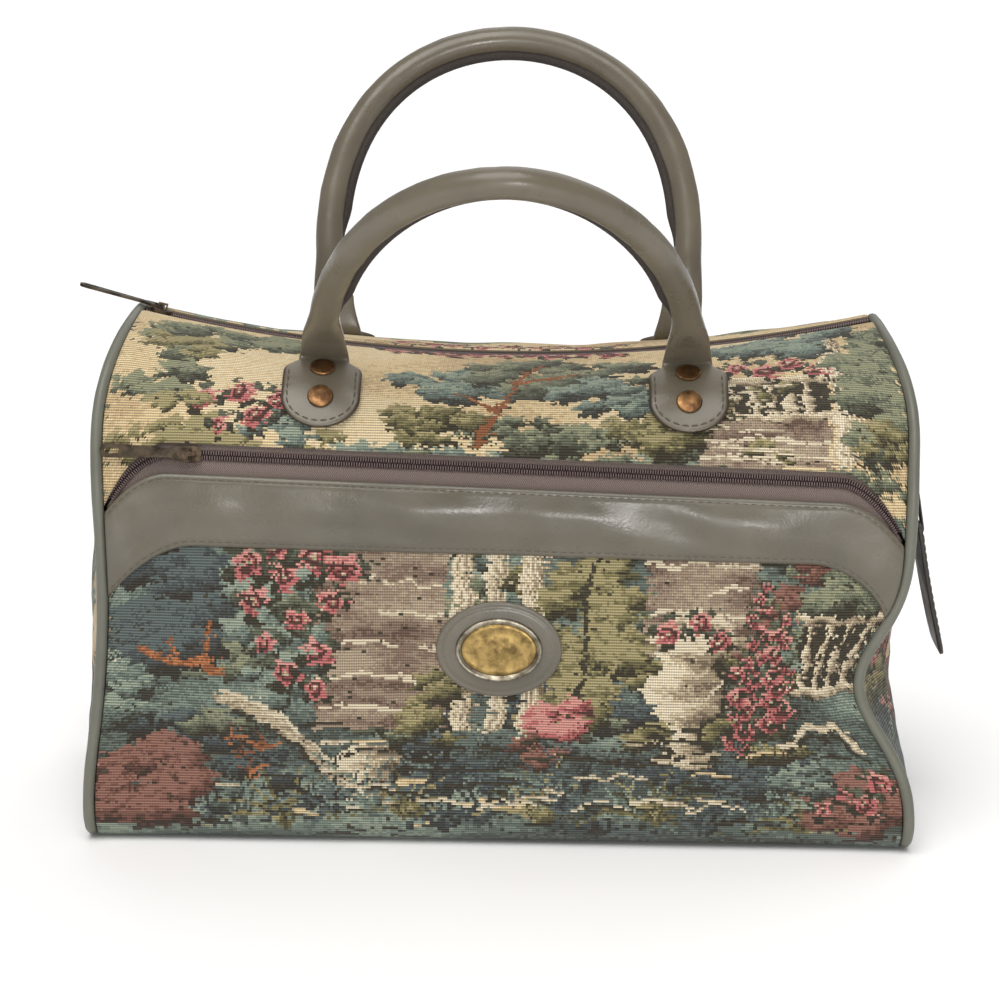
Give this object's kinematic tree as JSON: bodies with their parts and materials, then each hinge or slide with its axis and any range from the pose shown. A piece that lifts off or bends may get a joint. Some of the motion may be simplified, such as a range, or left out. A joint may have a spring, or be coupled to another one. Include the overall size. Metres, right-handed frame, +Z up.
{
  "type": "carpet bag",
  "caption": "Soft tapestry weekend bag with a zipped vault top, zipped front pocket under a leatherette band, piped ends, rolled handles on riveted tabs, strap rings and a luggage tag.",
  "frame": {"origin": "middle of the flat underside of the bag", "axes": "+X to the right along the front as seen by someone facing the pocket, +Y from the front to the back, +Z up"},
  "size_m": [0.4696, 0.3053, 0.418],
  "materials": {
    "tapestry": "woven, matt",
    "leatherette": "grained, satin",
    "piping": "smooth, satin",
    "zip_tape": "twill, matt",
    "zip_coil": "satin",
    "slider_metal": "dark antique",
    "pull_metal": "dark antique",
    "rivet_metal": "antique copper",
    "ring_metal": "antique",
    "badge_metal": "polished gold",
    "tag_leather": "satin",
    "lining": "plain, matt",
    "board": "raw board"
  },
  "bodies": {
    "bag": {"upper_front_panel": "tapestry", "pocket_panel": "tapestry", "pocket_band": "leatherette", "pocket_lining": "lining", "back_panel": "tapestry", "base_panel": "tapestry", "base_board": "board", "left_end_panel": "tapestry", "right_end_panel": "tapestry", "left_piping": "piping", "right_piping": "piping", "top_zip_front_tape": "zip_tape", "top_zip_rear_tape": "zip_tape", "top_zip_front_coil": "zip_coil", "top_zip_rear_coil": "zip_coil", "pocket_zip_upper_tape": "zip_tape", "pocket_zip_lower_tape": "zip_tape", "pocket_zip_upper_coil": "zip_coil", "pocket_zip_lower_coil": "zip_coil", "front_left_tab": "leatherette", "front_right_tab": "leatherette", "rear_left_tab": "leatherette", "rear_right_tab": "leatherette", "front_rivets": "rivet_metal", "rear_rivets": "rivet_metal", "left_ring_loop": "leatherette", "right_ring_loop": "leatherette", "badge_patch": "leatherette", "badge_plate": "badge_metal"},
    "top_slider": {"top_slider": "slider_metal"},
    "top_pull": {"top_pull": "pull_metal"},
    "pocket_slider": {"pocket_slider": "slider_metal"},
    "pocket_pull": {"pocket_pull": "pull_metal"},
    "front_handle": {"front_handle": "leatherette"},
    "rear_handle": {"rear_handle": "leatherette"},
    "left_ring": {"left_ring": "ring_metal"},
    "right_ring": {"right_ring": "ring_metal"},
    "tag": {"tag_strap": "tag_leather", "tag_body": "tag_leather"}
  },
  "joints": [
    {"name": "top_slider_run", "type": "hinge", "parent": "bag", "child": "top_slider", "pos_m": [0, 0, 1.11636], "axis": [0, -1, 0], "range_deg": [0, 24.79]},
    {"name": "top_pull_swing", "type": "hinge", "parent": "top_slider", "child": "top_pull", "pos_m": [-0.18572, 0, 0.27132], "axis": [0, 1, 0], "range_deg": [0, 120]},
    {"name": "pocket_slider_run", "type": "slide", "parent": "bag", "child": "pocket_slider", "axis": [0.9996, -0.0074, -0.0269], "range_m": [0, 0.322]},
    {"name": "pocket_pull_swing", "type": "hinge", "parent": "pocket_slider", "child": "pocket_pull", "pos_m": [-0.16094, -0.08911, 0.20864], "axis": [0.0279, 0.2648, 0.9639], "range_deg": [0, 160]},
    {"name": "front_handle_fold", "type": "hinge", "parent": "bag", "child": "front_handle", "pos_m": [0, -0.05017, 0.25715], "axis": [1, 0, 0], "range_deg": [-61, 33]},
    {"name": "rear_handle_fold", "type": "hinge", "parent": "bag", "child": "rear_handle", "pos_m": [0, 0.05017, 0.25715], "axis": [1, 0, 0], "range_deg": [-57, 36]},
    {"name": "left_ring_swing", "type": "hinge", "parent": "bag", "child": "left_ring", "pos_m": [-0.21261, 0, 0.224], "axis": [0, 1, 0], "range_deg": [-2, 110]},
    {"name": "right_ring_swing", "type": "hinge", "parent": "bag", "child": "right_ring", "pos_m": [0.21261, 0, 0.224], "axis": [0, -1, 0], "range_deg": [-2, 110]},
    {"name": "tag_swing", "type": "hinge", "parent": "right_ring", "child": "tag", "pos_m": [0.2179, 0, 0.2011], "axis": [0, -1, 0], "range_deg": [-2, 70]}
  ]
}
